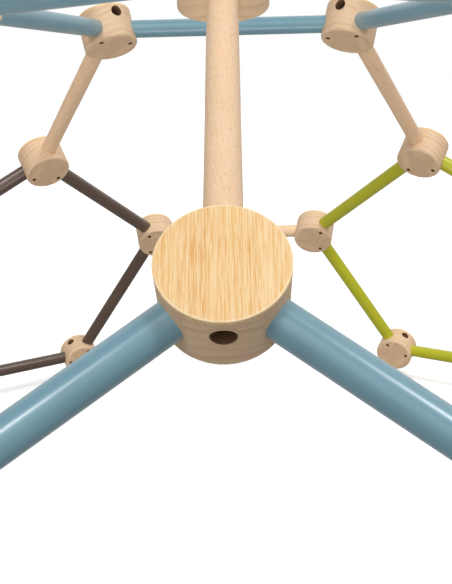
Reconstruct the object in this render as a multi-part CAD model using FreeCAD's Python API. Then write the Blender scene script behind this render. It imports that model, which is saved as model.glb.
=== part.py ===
"""Dome climber: six five-sided rings of wooden rods, tied together by natural rods and standing on ten feet.

Each corner of the dome is a wooden drum, the hub, with one socket for each of its three rods. Two of them are
ring rods, which are screwed in for good. The third is a link rod or a foot, which a bolt draws in from the
other side of the hub, so that the dome comes apart into its rings.

Millimetres, +Z up. The origin is the middle of the footprint box, on the floor.
"""

import FreeCAD, Part
import math
import os

Vector = FreeCAD.Vector
UP = Vector(0, 0, 1)

# The dome's layout. Spans run from hub centre to hub centre, where a hub's centre is the point at which its
# three rod lines meet.
SIDE_RINGS = ["front", "right_front", "right_back", "left_back", "left_front"]
FRONT_ANGLE = -90.0
RING_SPAN = 458.0
LINK_SPAN = 432.0
RING_LEAN = 32.0
BASE_HUB_TILT = 16.0
BASE_HEIGHT = 78.0

# The hub: a drum with a bamboo disc glued on its outer end.
HUB_D = 100.0
HUB_INNER = 37.5
HUB_OUTER = 28.0
CAP_T = 4.0
HUB_EDGE_R = 5.0
CAP_EDGE = 0.6

# Rods and their sockets. SOCKET_FLOOR is measured from the hub's centre, and keeps the sockets apart.
ROD_D = 32.0
ROD_END_CHAMFER = 1.0
SOCKET_WALL = 6.0
SOCKET_FLOOR = ROD_D / 2.0 + SOCKET_WALL
SOCKET_GAP = 0.1

# The bolt that holds a link rod or a foot, with its washer and threaded insert.
BOLT_D = 8.0
BOLT_GAP = 0.5
BOLT_HOLE_D = BOLT_D + 2.0 * BOLT_GAP
BOLT_HEAD_RIM = 2.5
BOLT_HEAD_D = BOLT_D + 2.0 * BOLT_HEAD_RIM
BOLT_HEAD_H = 8.0
BOLT_KEY_AF = 6.0
BOLT_KEY_DEPTH = 4.0
WASHER_RIM = 2.0
WASHER_D = BOLT_HEAD_D + 2.0 * WASHER_RIM
WASHER_GAP = 0.2
WASHER_HOLE_D = BOLT_D + 2.0 * WASHER_GAP
WASHER_T = 1.6
INSERT_WALL = 2.0
INSERT_D = BOLT_D + 2.0 * INSERT_WALL
INSERT_L = 20.0
INSERT_SPARE = 2.0
BOLT_REACH = INSERT_L - INSERT_SPARE
BOLT_TIP_ROOM = 4.0
THREAD_GAP = 0.05

# The bolt's well. WELL_FLOOR is measured from the hub's centre, and leaves a wall beside the ring rods.
WELL_GAP = 1.5
WELL_D = WASHER_D + 2.0 * WELL_GAP
WELL_WALL = 2.0
WELL_FLOOR = ROD_D / 2.0 + WELL_D / 2.0 + WELL_WALL

# The screw that holds a ring rod, driven from the hub's inner face halfway along the socket.
SCREW_RADIUS = (SOCKET_FLOOR + HUB_D / 2.0) / 2.0
SCREW_D = 4.5
SCREW_HEAD_RIM = 1.55
SCREW_HEAD_D = SCREW_D + 2.0 * SCREW_HEAD_RIM
SCREW_HEAD_H = 2.6
SCREW_L = 30.0
SCREW_POINT_L = 4.0
SCREW_POINT_D = 1.1
SCREW_RECESS_GAP = 0.2
SCREW_RECESS_D = SCREW_HEAD_D + 2.0 * SCREW_RECESS_GAP
SCREW_RECESS = 8.0
SCREW_KEY_AF = 3.0
SCREW_KEY_DEPTH = 1.6

# Feet: the rod is cut level and has a rubber sole.
SOLE_T = 5.0

# Shape of a regular five-sided ring, as shares of its span.
HALF_TURN_SHARE = math.radians(180.0 / len(SIDE_RINGS))
CORNER_RADIUS = 0.5 / math.sin(HALF_TURN_SHARE)
SIDE_DISTANCE = 0.5 / math.tan(HALF_TURN_SHARE)
RING_CORNERS = {"top": 0, "right": -1, "base_right": -2, "base_left": -3, "left": -4}

HEXAGON_SIDES = 6
EDGE_TOLERANCE = 1e-3


def ring_angle(index):
    """Direction of a side ring from the dome's axis, in radians about Z."""
    return math.radians(FRONT_ANGLE) + index * 2.0 * HALF_TURN_SHARE


def radial(angle):
    return Vector(math.cos(angle), math.sin(angle), 0)


def side_ring(index):
    """Corner points of a side ring, which leans inward at its top."""
    lean = math.radians(RING_LEAN)
    outward = radial(ring_angle(index))
    across = UP.cross(outward)
    upward = UP * math.cos(lean) - outward * math.sin(lean)
    corner_x = CORNER_RADIUS * math.sin(2.0 * HALF_TURN_SHARE) * RING_SPAN
    corner_y = CORNER_RADIUS * math.cos(2.0 * HALF_TURN_SHARE) * RING_SPAN
    middle_distance = (LINK_SPAN / 2.0 + corner_x * math.cos(HALF_TURN_SHARE)) / math.sin(HALF_TURN_SHARE)
    centre = outward * (middle_distance + corner_y * math.sin(lean))
    centre += UP * (BASE_HEIGHT + SIDE_DISTANCE * RING_SPAN * math.cos(lean))
    corners = {}
    for corner, step in RING_CORNERS.items():
        turn = 2.0 * HALF_TURN_SHARE * step
        reach = CORNER_RADIUS * RING_SPAN
        corners[corner] = centre + upward * (reach * math.cos(turn)) - across * (reach * math.sin(turn))
    return corners


def crown_ring(side_tops):
    """Corner points of the level ring at the top, one above each side ring."""
    radius = CORNER_RADIUS * RING_SPAN
    top = side_tops[0]
    overhang = math.hypot(top.x, top.y) - radius
    height = top.z + math.sqrt(LINK_SPAN**2 - overhang**2)
    return [radial(ring_angle(i)) * radius + UP * height for i in range(len(SIDE_RINGS))]


def unit(vector):
    return Vector(vector).normalize()


class Hub:
    """Where a hub stands: its centre, its axis pointing out of the dome and its three rod directions."""

    def __init__(self, name, centre, ring_ends, link_end=None):
        self.name = name
        self.centre = centre
        self.has_foot = link_end is None
        self.rings = [unit(end - centre) for end in ring_ends]
        middle = unit(self.rings[0] + self.rings[1])
        face = unit(self.rings[0].cross(self.rings[1]))
        if face.dot(centre) < 0:
            face = -face
        if self.has_foot:
            # A base hub: the foot leans in under the dome as much as the ring rods do.
            tilt = math.radians(BASE_HUB_TILT)
            self.axis = face * math.cos(tilt) - middle * math.sin(tilt)
            square = unit(middle - self.axis * middle.dot(self.axis))
            sink = -self.axis.dot(self.rings[0])
            self.link = -square * math.sqrt(1.0 - sink**2) - self.axis * sink
        else:
            # The axis makes the same angle with all three rods.
            self.link = unit(link_end - centre)
            self.axis = unit((self.rings[1] - self.rings[0]).cross(self.link - self.rings[0]))
            if self.axis.dot(face) < 0:
                self.axis = -self.axis

    def placement(self):
        return FreeCAD.Placement(self.centre, FreeCAD.Rotation(UP, self.axis))

    def screw_start(self, rod):
        """Centre of the screw recess on the inner face, in line with a ring rod."""
        flat = unit(rod - self.axis * rod.dot(self.axis))
        return self.centre + flat * SCREW_RADIUS - self.axis * HUB_INNER


def cylinder(diameter, length, start, direction):
    return Part.makeCylinder(diameter / 2.0, length, start, direction)


def hex_prism(across_flats, length, start, direction):
    """A hexagon key's shape."""
    radius = across_flats / (2.0 * math.cos(math.pi / HEXAGON_SIDES))
    corners = [radial(2.0 * math.pi * i / HEXAGON_SIDES) * radius for i in range(HEXAGON_SIDES)]
    prism = Part.Face(Part.makePolygon(corners + corners[:1])).extrude(UP * length)
    prism.Placement = FreeCAD.Placement(start, FreeCAD.Rotation(UP, direction))
    return prism


def edges_at(shape, height):
    """The circular edges of a turned shape at one height on its own axis."""
    found = []
    for edge in shape.Edges:
        box = edge.BoundBox
        if abs(box.ZMin - height) < EDGE_TOLERANCE and abs(box.ZMax - height) < EDGE_TOLERANCE:
            found.append(edge)
    return found


def hub_body(hub):
    """The drum, with its three sockets, the bolt's well and hole, and two screw recesses."""
    drum = Part.makeCylinder(HUB_D / 2.0, HUB_INNER + HUB_OUTER - CAP_T, Vector(0, 0, -HUB_INNER))
    drum = drum.makeFillet(HUB_EDGE_R, edges_at(drum, -HUB_INNER))
    drum.Placement = hub.placement()
    cuts = []
    for rod in hub.rings + [hub.link]:
        cuts.append(cylinder(ROD_D + 2.0 * SOCKET_GAP, HUB_D, hub.centre + rod * SOCKET_FLOOR, rod))
    cuts.append(cylinder(WELL_D, HUB_D, hub.centre - hub.link * WELL_FLOOR, -hub.link))
    cuts.append(cylinder(BOLT_HOLE_D, WELL_FLOOR + SOCKET_FLOOR, hub.centre - hub.link * WELL_FLOOR, hub.link))
    for rod in hub.rings:
        start = hub.screw_start(rod)
        cuts.append(cylinder(SCREW_RECESS_D, SCREW_RECESS, start, hub.axis))
        cuts.append(cylinder(SCREW_D + 2.0 * THREAD_GAP, HUB_INNER, start, hub.axis))
    return drum.cut(cuts)


def hub_cap(hub):
    """The bamboo disc on the outer end of the drum."""
    disc = Part.makeCylinder(HUB_D / 2.0, CAP_T, Vector(0, 0, HUB_OUTER - CAP_T))
    disc = disc.makeFillet(CAP_EDGE, edges_at(disc, HUB_OUTER))
    disc.Placement = hub.placement()
    return disc


def plain_rod(start, direction, length):
    rod = Part.makeCylinder(ROD_D / 2.0, length)
    rod = rod.makeChamfer(ROD_END_CHAMFER, edges_at(rod, 0) + edges_at(rod, length))
    rod.Placement = FreeCAD.Placement(start, FreeCAD.Rotation(UP, direction))
    return rod


def ring_rod(first, second):
    """A rod between two hubs of one ring, with the pilot holes of its two screws."""
    direction = unit(second.centre - first.centre)
    span = (second.centre - first.centre).Length
    rod = plain_rod(first.centre + direction * SOCKET_FLOOR, direction, span - 2.0 * SOCKET_FLOOR)
    pilots = []
    for hub, way in ((first, direction), (second, -direction)):
        depth = SCREW_RECESS + SCREW_L + THREAD_GAP
        pilots.append(cylinder(SCREW_D + 2.0 * THREAD_GAP, depth, hub.screw_start(way), hub.axis))
    return rod.cut(pilots)


def insert_hole(hub):
    """The hole in a rod's end for the threaded insert and the bolt's tip."""
    start = hub.centre + hub.link * SOCKET_FLOOR
    seat = cylinder(INSERT_D + 2.0 * THREAD_GAP, INSERT_L, start, hub.link)
    tip = cylinder(BOLT_D + 2.0 * THREAD_GAP, INSERT_L + BOLT_TIP_ROOM, start, hub.link)
    return seat.fuse(tip)


def link_rod(first, second):
    """A natural rod between two rings, with a threaded insert's hole in each end."""
    direction = unit(second.centre - first.centre)
    span = (second.centre - first.centre).Length
    rod = plain_rod(first.centre + direction * SOCKET_FLOOR, direction, span - 2.0 * SOCKET_FLOOR)
    return rod.cut([insert_hole(first), insert_hole(second)])


def foot_length(hub):
    """Length of a rod that runs from a base hub's socket past the floor, all round."""
    return (BASE_HEIGHT + ROD_D) / -hub.link.z


def foot_slice(hub, low, high):
    """The part of a base hub's third rod that is between two heights above the floor."""
    rod = plain_rod(hub.centre + hub.link * SOCKET_FLOOR, hub.link, foot_length(hub))
    reach = foot_length(hub) + HUB_D
    corner = Vector(hub.centre.x - reach, hub.centre.y - reach, low)
    return rod.common(Part.makeBox(2.0 * reach, 2.0 * reach, high - low, corner))


def foot(hub):
    """The stub between a base hub and its sole, cut level."""
    return foot_slice(hub, SOLE_T, BASE_HEIGHT + ROD_D).cut(insert_hole(hub))


def sole(hub):
    """The rubber sole under a foot, flush with it all round."""
    return foot_slice(hub, 0, SOLE_T)


def washer(hub):
    start = hub.centre - hub.link * (WELL_FLOOR + WASHER_T)
    return cylinder(WASHER_D, WASHER_T, start, hub.link).cut(cylinder(WASHER_HOLE_D, WASHER_T, start, hub.link))


def bolt(hub):
    """A cap screw whose head bears on the washer and whose end is in the insert."""
    under_head = hub.centre - hub.link * (WELL_FLOOR + WASHER_T)
    shank = cylinder(BOLT_D, WELL_FLOOR + WASHER_T + SOCKET_FLOOR + BOLT_REACH, under_head, hub.link)
    head = cylinder(BOLT_HEAD_D, BOLT_HEAD_H, under_head, -hub.link)
    key = hex_prism(BOLT_KEY_AF, BOLT_KEY_DEPTH, under_head - hub.link * BOLT_HEAD_H, hub.link)
    return shank.fuse(head).cut(key).removeSplitter()


def insert(hub):
    start = hub.centre + hub.link * SOCKET_FLOOR
    barrel = cylinder(INSERT_D, INSERT_L, start, hub.link)
    return barrel.cut(cylinder(BOLT_D + 2.0 * THREAD_GAP, INSERT_L, start, hub.link))


def ring_screw(hub, rod):
    """A wood screw from the recess in the inner face into the ring rod."""
    seat = hub.screw_start(rod) + hub.axis * SCREW_RECESS
    shank = cylinder(SCREW_D, SCREW_L - SCREW_POINT_L, seat, hub.axis)
    point_start = seat + hub.axis * (SCREW_L - SCREW_POINT_L)
    point = Part.makeCone(SCREW_D / 2.0, SCREW_POINT_D / 2.0, SCREW_POINT_L, point_start, hub.axis)
    head = cylinder(SCREW_HEAD_D, SCREW_HEAD_H, seat, -hub.axis)
    key = hex_prism(SCREW_KEY_AF, SCREW_KEY_DEPTH, seat - hub.axis * SCREW_HEAD_H, hub.axis)
    return shank.fuse([point, head]).cut(key).removeSplitter()


def build_hubs():
    """Every hub, grouped by ring, with each ring's hubs in order round it."""
    sides = [side_ring(i) for i in range(len(SIDE_RINGS))]
    crown = crown_ring([ring["top"] for ring in sides])
    order = list(RING_CORNERS)
    count = len(SIDE_RINGS)
    rings = {}
    for i, name in enumerate(SIDE_RINGS):
        points = sides[i]
        link_ends = {"top": crown[i], "right": sides[(i + 1) % count]["left"],
                     "left": sides[i - 1]["right"], "base_left": None, "base_right": None}
        hubs = []
        for j, corner in enumerate(order):
            neighbours = [points[order[j - 1]], points[order[(j + 1) % count]]]
            hubs.append(Hub(f"hub_{name}_{corner}", points[corner], neighbours, link_ends[corner]))
        rings[name] = hubs
    rings["crown"] = [Hub(f"hub_crown_{name}", crown[i], [crown[i - 1], crown[(i + 1) % count]], sides[i]["top"])
                      for i, name in enumerate(SIDE_RINGS)]
    return rings


def build_nodes():
    """Every piece of the dome, standing on the floor about its own axis: node name to shape."""
    rings = build_hubs()
    hubs = [hub for ring in rings.values() for hub in ring]
    base_hubs = [hub for hub in hubs if hub.has_foot]
    by_name = {hub.name: hub for hub in hubs}
    nodes = {hub.name: hub_body(hub) for hub in hubs}
    for name, ring in rings.items():
        nodes[f"{name}_ring_rods"] = Part.Compound([ring_rod(ring[i - 1], ring[i]) for i in range(len(ring))])
        nodes[f"{name}_ring_caps"] = Part.Compound([hub_cap(hub) for hub in ring])
    for i, name in enumerate(SIDE_RINGS):
        following = SIDE_RINGS[(i + 1) % len(SIDE_RINGS)]
        nodes[f"crown_link_{name}"] = link_rod(by_name[f"hub_{name}_top"], by_name[f"hub_crown_{name}"])
        nodes[f"belt_link_{name}"] = link_rod(by_name[f"hub_{name}_right"], by_name[f"hub_{following}_left"])
    nodes["feet"] = Part.Compound([foot(hub) for hub in base_hubs])
    nodes["foot_soles"] = Part.Compound([sole(hub) for hub in base_hubs])
    nodes["link_bolts"] = Part.Compound([bolt(hub) for hub in hubs])
    nodes["link_washers"] = Part.Compound([washer(hub) for hub in hubs])
    nodes["threaded_inserts"] = Part.Compound([insert(hub) for hub in hubs])
    nodes["ring_screws"] = Part.Compound([ring_screw(hub, rod) for hub in hubs for rod in hub.rings])
    return nodes


def footprint_middle(nodes):
    """Middle of the footprint box. An odd number of sides puts it a little off the dome's axis."""
    box = FreeCAD.BoundBox()
    for shape in nodes.values():
        box.add(shape.optimalBoundingBox(False, False))
    return Vector((box.XMin + box.XMax) / 2.0, (box.YMin + box.YMax) / 2.0, 0)


def main():
    os.makedirs("parts", exist_ok=True)
    nodes = build_nodes()
    middle = footprint_middle(nodes)
    for name, shape in nodes.items():
        shape.translate(-middle)
        shape.exportStep(f"parts/{name}.step")


main()
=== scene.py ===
"""Looks of the dome climber: painted ring rods, varnished hubs with bamboo faces, beech links and feet.

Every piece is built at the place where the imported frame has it. Metres, +Z up.
"""

import logging
import math
from dataclasses import dataclass
from enum import Enum

import bmesh
import bpy
from mathutils import Matrix, Vector


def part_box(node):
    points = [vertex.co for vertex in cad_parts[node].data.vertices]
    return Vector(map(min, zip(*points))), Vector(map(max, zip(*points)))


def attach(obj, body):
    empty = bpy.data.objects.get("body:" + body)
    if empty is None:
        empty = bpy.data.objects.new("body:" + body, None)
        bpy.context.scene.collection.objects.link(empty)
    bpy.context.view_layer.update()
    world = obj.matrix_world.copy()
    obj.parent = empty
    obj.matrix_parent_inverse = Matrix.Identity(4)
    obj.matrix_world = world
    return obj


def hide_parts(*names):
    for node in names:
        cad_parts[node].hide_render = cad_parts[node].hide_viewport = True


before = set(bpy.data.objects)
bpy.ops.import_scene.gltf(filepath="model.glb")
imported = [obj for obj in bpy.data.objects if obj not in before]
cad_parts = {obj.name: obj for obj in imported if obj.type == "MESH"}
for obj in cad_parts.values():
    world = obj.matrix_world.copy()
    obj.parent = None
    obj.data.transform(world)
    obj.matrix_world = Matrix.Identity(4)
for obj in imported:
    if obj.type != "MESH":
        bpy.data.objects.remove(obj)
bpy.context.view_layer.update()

LOG = logging.getLogger("dome_climber")
MM = 0.001
UP = Vector((0.0, 0.0, 1.0))
SIDE_RINGS = ("front", "right_front", "right_back", "left_back", "left_front")
SIDES = len(SIDE_RINGS)
Profile = list[tuple[float, float]]
Range = tuple[float, float]
Size = tuple[float, float, float]
Rgb = tuple[float, float, float]
Inputs = dict[str | int, object]
Socket = bpy.types.NodeSocket


class RingColour(Enum):
    """The paints that the rings come in, as linear base colours."""

    LIGHT_BLUE = (0.162, 0.325, 0.402)
    DARK_BROWN = (0.105, 0.062, 0.041)
    LIME_GREEN = (0.500, 0.500, 0.009)


class Corner(Enum):
    """Where a hub sits in its ring, by fifths of a turn from the top, clockwise seen from outside."""

    TOP = 0
    RIGHT = 1
    BASE_RIGHT = 2
    BASE_LEFT = 3
    LEFT = 4
    CROWN = 5


RING_PAINTS = {
    "front": RingColour.LIGHT_BLUE,
    "right_front": RingColour.DARK_BROWN,
    "right_back": RingColour.LIME_GREEN,
    "left_back": RingColour.DARK_BROWN,
    "left_front": RingColour.LIME_GREEN,
    "crown": RingColour.LIGHT_BLUE,
}
PAINT_SLOTS = {
    RingColour.LIGHT_BLUE: "blue_paint",
    RingColour.DARK_BROWN: "brown_paint",
    RingColour.LIME_GREEN: "lime_paint",
}


# ---------------------------------------------------------------- where things are


@dataclass(frozen=True)
class HubPlace:
    """One hub: its node's name, its corner of the ring and the directions of its axis and rods."""

    name: str
    corner: Corner
    centre: Vector
    axis: Vector
    ring_ways: tuple[Vector, Vector]
    link_way: Vector

    def matrix(self) -> Matrix:
        """Works out the hub's own frame.

        Returns:
            A frame at the hub's centre with +Z out of the dome and +X along its link rod.
        """
        along = (self.link_way - self.axis * self.link_way.dot(self.axis)).normalized()
        across = self.axis.cross(along)
        turn = Matrix((along, across, self.axis)).transposed().to_4x4()
        return Matrix.Translation(self.centre) @ turn

    def local(self, way: Vector) -> Vector:
        """Returns a direction in the hub's own frame."""
        return self.matrix().to_3x3().transposed() @ way


Rings = dict[str, list[HubPlace]]


@dataclass(frozen=True)
class DomeLayout:
    """Spans between hub centres, and how the rings lean."""

    ring_span: float = 458 * MM
    link_span: float = 432 * MM
    ring_lean: float = math.radians(32)
    base_height: float = 78 * MM
    base_hub_tilt: float = math.radians(16)
    half_turn: float = math.pi / SIDES

    def ring_angle(self, index: int) -> float:
        """Returns the direction of a side ring from the dome's axis, in radians about Z."""
        return -math.pi / 2.0 + 2.0 * self.half_turn * index

    def radial(self, index: int) -> Vector:
        """Returns the level direction from the dome's axis towards a side ring."""
        angle = self.ring_angle(index)
        return Vector((math.cos(angle), math.sin(angle), 0.0))

    def corner_radius(self) -> float:
        """Returns the distance from a ring's middle to its hub centres."""
        return 0.5 * self.ring_span / math.sin(self.half_turn)

    def corner_offset(self, step: int) -> tuple[float, float]:
        """Returns how far a ring's corner is to the right of its middle and above it, in the ring's plane."""
        turn = 2.0 * self.half_turn * step
        return self.corner_radius() * math.sin(turn), self.corner_radius() * math.cos(turn)

    def belt_radius(self) -> float:
        """Returns the distance from the dome's axis to the middle of a side ring's widest corners."""
        corner_x, _ = self.corner_offset(1)
        return (self.link_span / 2.0 + corner_x * math.cos(self.half_turn)) / math.sin(self.half_turn)

    def dome_axis(self) -> Vector:
        """Finds the dome's axis from the belt link at the back, which lies along X.

        Returns:
            The point of the axis at floor level.
        """
        low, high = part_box("belt_link_right_back")
        corner_x, _ = self.corner_offset(1)
        reach = self.belt_radius() * math.cos(self.half_turn) + corner_x * math.sin(self.half_turn)
        return Vector((0.0, (low.y + high.y) / 2.0 - reach, 0.0))

    def side_ring(self, index: int) -> list[Vector]:
        """Works out a side ring.

        Args:
            index: the ring's number, counted anticlockwise from the front, seen from above.

        Returns:
            The centres of its hubs, clockwise from the top.
        """
        outward = self.radial(index)
        across = UP.cross(outward)
        upward = UP * math.cos(self.ring_lean) - outward * math.sin(self.ring_lean)
        _, corner_y = self.corner_offset(1)
        centre = self.dome_axis() + outward * (self.belt_radius() + corner_y * math.sin(self.ring_lean))
        inner_radius = 0.5 * self.ring_span / math.tan(self.half_turn)
        centre += UP * (self.base_height + inner_radius * math.cos(self.ring_lean))
        corners = []
        for step in range(SIDES):
            right, above = self.corner_offset(step)
            corners.append(centre + across * right + upward * above)
        return corners

    def crown_ring(self) -> list[Vector]:
        """Works out the level ring at the top.

        Returns:
            The centres of its hubs, one above each side ring.
        """
        axis = self.dome_axis()
        top = self.side_ring(0)[0]
        overhang = (top - axis).xy.length - self.corner_radius()
        height = top.z + math.sqrt(self.link_span**2 - overhang**2)
        return [axis + self.radial(i) * self.corner_radius() + UP * height for i in range(SIDES)]

    def place_hub(self, name: str, corner: Corner, centre: Vector, ends: list[Vector],
                  link: Vector | None) -> HubPlace:
        """Works out a hub's axis from its rods.

        Args:
            name: the hub's CAD node.
            corner: its place in the ring.
            centre: the point where its rod lines meet.
            ends: the centres of its two neighbours in the ring.
            link: the centre of the hub that it is linked to, or None where it has a foot.

        Returns:
            The hub with its directions.
        """
        ways = tuple((end - centre).normalized() for end in ends)
        middle = (ways[0] + ways[1]).normalized()
        face = ways[0].cross(ways[1]).normalized()
        if face.dot(centre - self.dome_axis()) < 0.0:
            face = -face
        if link is None:
            axis = face * math.cos(self.base_hub_tilt) - middle * math.sin(self.base_hub_tilt)
            square = (middle - axis * middle.dot(axis)).normalized()
            sink = -axis.dot(ways[0])
            link_way = -square * math.sqrt(1.0 - sink**2) - axis * sink
        else:
            link_way = (link - centre).normalized()
            axis = (ways[1] - ways[0]).cross(link_way - ways[0]).normalized()
            if axis.dot(face) < 0.0:
                axis = -axis
        return HubPlace(name, corner, centre, axis, ways, link_way)

    def rings(self) -> Rings:
        """Works out every hub.

        Returns:
            The hubs, grouped by ring and in order round it.
        """
        sides = [self.side_ring(i) for i in range(SIDES)]
        crown = self.crown_ring()
        top, right, left = Corner.TOP, Corner.RIGHT, Corner.LEFT
        found = {}
        for i, ring in enumerate(SIDE_RINGS):
            points = sides[i]
            following = sides[(i + 1) % SIDES]
            links = {top: crown[i], right: following[left.value], left: sides[i - 1][right.value]}
            found[ring] = []
            for step in range(SIDES):
                corner = Corner(step)
                ends = [points[step - 1], points[(step + 1) % SIDES]]
                name = f"hub_{ring}_{corner.name.lower()}"
                found[ring].append(self.place_hub(name, corner, points[step], ends, links.get(corner)))
        found["crown"] = []
        for i, ring in enumerate(SIDE_RINGS):
            ends = [crown[i - 1], crown[(i + 1) % SIDES]]
            name = f"hub_crown_{ring}"
            found["crown"].append(self.place_hub(name, Corner.CROWN, crown[i], ends, sides[i][top.value]))
        return found


# ---------------------------------------------------------------- mesh work


CREASE = math.radians(32)


def arc(centre: tuple[float, float], radius: float, start: float, end: float, steps: int) -> Profile:
    """Makes a round stretch of a turned profile.

    Args:
        centre: distance from the axis and height of the arc's centre.
        radius: the arc's radius.
        start: angle of its first point in degrees, from the outward direction towards +Z.
        end: angle of its last point in degrees.
        steps: how many chords it has.

    Returns:
        Points as (distance from the axis, height).
    """
    angles = [math.radians(start + (end - start) * i / steps) for i in range(steps + 1)]
    return [(centre[0] + radius * math.cos(a), centre[1] + radius * math.sin(a)) for a in angles]


def turned(profile: Profile, segments: int) -> bmesh.types.BMesh:
    """Turns a profile about Z into a closed solid.

    Args:
        profile: points from the lower end to the upper end; the first and last are on the axis.
        segments: how many sides the solid has.

    Returns:
        The solid as a bmesh.
    """
    solid = bmesh.new()
    rings = []
    for radius, height in profile[1:-1]:
        turns = [2.0 * math.pi * i / segments for i in range(segments)]
        rings.append([solid.verts.new((radius * math.cos(t), radius * math.sin(t), height)) for t in turns])
    low = solid.verts.new((0.0, 0.0, profile[0][1]))
    high = solid.verts.new((0.0, 0.0, profile[-1][1]))
    for i in range(segments):
        following = (i + 1) % segments
        solid.faces.new((low, rings[0][following], rings[0][i]))
        solid.faces.new((high, rings[-1][i], rings[-1][following]))
        for lower, upper in zip(rings, rings[1:]):
            solid.faces.new((lower[i], lower[following], upper[following], upper[i]))
    return solid


def rod_profile(radius: float, low: float, high: float, ease: float) -> Profile:
    """Returns the profile of a round bar with eased ends."""
    return [(0.0, low), (radius - ease, low), (radius, low + ease), (radius, high - ease),
            (radius - ease, high), (0.0, high)]


@dataclass(frozen=True)
class Board:
    """How a piece is cut from its board: which way the grain runs and which stretch of the board it is."""

    turn: Matrix
    size: Size = (20.0, 0.05, 0.02)
    steps: Size = (0.618, 0.414, 0.732)

    def shift(self, name: str) -> Vector:
        """Picks a place in the board.

        Args:
            name: the piece's name.

        Returns:
            A place that depends only on the name.
        """
        number = sum((i + 1) * ord(letter) for i, letter in enumerate(name))
        shares = [(number * step) % 1.0 - 0.5 for step in self.steps]
        return Vector(share * side for share, side in zip(shares, self.size))


HUB_BOARD = Board(Matrix.Identity(3))
STRIP_BOARD = Board(Matrix.Identity(3), (20.0, 3.0, 1.0))
ROD_BOARD = Board(Matrix.Rotation(math.pi / 2.0, 3, "Y"))
BEECH_BOARD = Board(Matrix.Rotation(math.radians(9), 3, "Y") @ ROD_BOARD.turn)


def to_object(solid: bmesh.types.BMesh, name: str, matrix: Matrix, finishes: tuple["Finish", ...],
              board: Board = HUB_BOARD) -> bpy.types.Object:
    """Makes a smooth-shaded object with its creases kept sharp.

    Args:
        solid: the mesh, in the piece's own frame; it is freed.
        name: the piece's name.
        matrix: where the piece's frame is.
        finishes: what it is finished with, in the order of its faces' material numbers.
        board: how its grain runs.

    Returns:
        The new object, which keeps its own coordinates as the attribute "place" and its board's as "grain".
    """
    bmesh.ops.recalc_face_normals(solid, faces=solid.faces)
    place = solid.verts.layers.float_vector.new("place")
    grain = solid.verts.layers.float_vector.new("grain")
    shift = board.shift(name)
    for vert in solid.verts:
        vert[place] = vert.co
        vert[grain] = board.turn @ vert.co + shift
    solid.transform(matrix.to_3x3().to_4x4())
    mesh = bpy.data.meshes.new(name)
    solid.to_mesh(mesh)
    solid.free()
    mesh.polygons.foreach_set("use_smooth", [True] * len(mesh.polygons))
    mesh.set_sharp_from_angle(angle=CREASE)
    for finish in finishes:
        mesh.materials.append(finish.material())
    piece = bpy.data.objects.new(name, mesh)
    bpy.context.scene.collection.objects.link(piece)
    piece.matrix_world = Matrix.Translation(matrix.translation)
    return piece


def settle(piece: bpy.types.Object, slot: str, *nodes: str) -> None:
    """Fixes a piece to the dome in place of its CAD nodes.

    Args:
        piece: the piece.
        slot: the CAD material that it is made of; not used.
        nodes: the CAD nodes that it stands for.
    """
    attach(piece, "root")
    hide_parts(*nodes)


def aimed(start: Vector, way: Vector) -> Matrix:
    """Returns a frame at start whose +Z is way."""
    return Matrix.Translation(start) @ UP.rotation_difference(way).to_matrix().to_4x4()


# ---------------------------------------------------------------- shader helpers


def colour(rgb: Rgb) -> tuple[float, float, float, float]:
    """Returns a colour with full alpha."""
    return (*rgb, 1.0)


def darker(rgb: Rgb, share: float) -> Rgb:
    """Returns a colour at a share of its brightness."""
    return tuple(share * part for part in rgb)


def paler(rgb: Rgb, gain: float, lift: float) -> Rgb:
    """Returns a colour made brighter and a little whiter."""
    return tuple(min(1.0, gain * part + lift) for part in rgb)


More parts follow.
